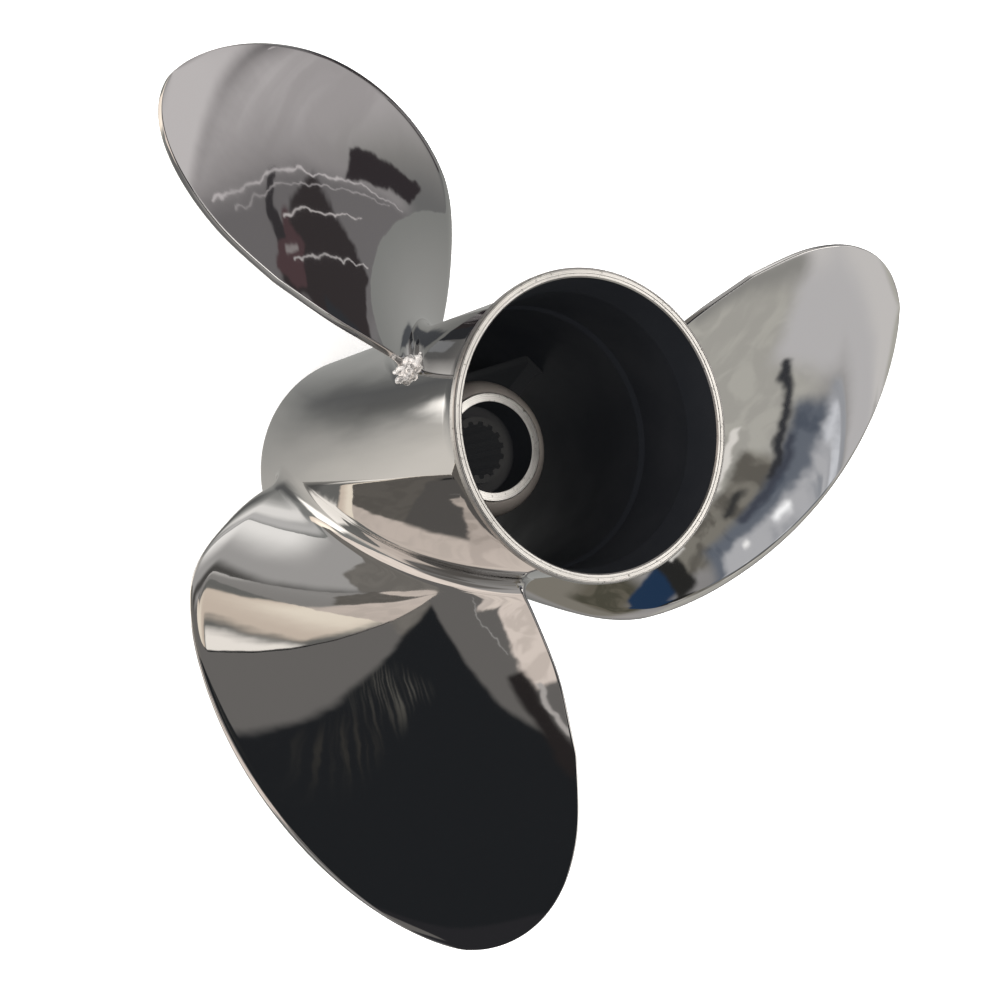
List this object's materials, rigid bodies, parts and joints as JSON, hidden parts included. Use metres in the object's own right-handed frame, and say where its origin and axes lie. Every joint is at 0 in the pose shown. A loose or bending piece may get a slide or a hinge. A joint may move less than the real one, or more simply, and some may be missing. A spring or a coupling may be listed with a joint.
{
  "type": "boat propeller",
  "caption": "Right-hand boat propeller in polished stainless steel, with broad raked blades on a hollow barrel whose exhaust leaves through the middle.",
  "frame": {"origin": "centroid of the propeller, on the shaft axis", "axes": "+Z along the shaft axis towards the aft end, where the exhaust leaves; +X towards the tip of blade_1"},
  "size_m": [0.3045, 0.318, 0.178],
  "materials": {
    "polished_steel": "mirror-polished stainless steel",
    "machined_steel": "machined stainless steel, fine turning marks",
    "cast_steel": "dull unpolished stainless steel",
    "bush_rubber": "matt black rubber",
    "sleeve_brass": "machined brass, darkened by use"
  },
  "bodies": {
    "root": {"barrel": "polished_steel", "diffuser_ring": "machined_steel", "inner_hub": "cast_steel", "rib_1": "cast_steel", "rib_2": "cast_steel", "rib_3": "cast_steel", "rubber_bush": "bush_rubber", "drive_sleeve": "sleeve_brass", "blade_1": "polished_steel", "blade_2": "polished_steel", "blade_3": "polished_steel"}
  },
  "joints": []
}
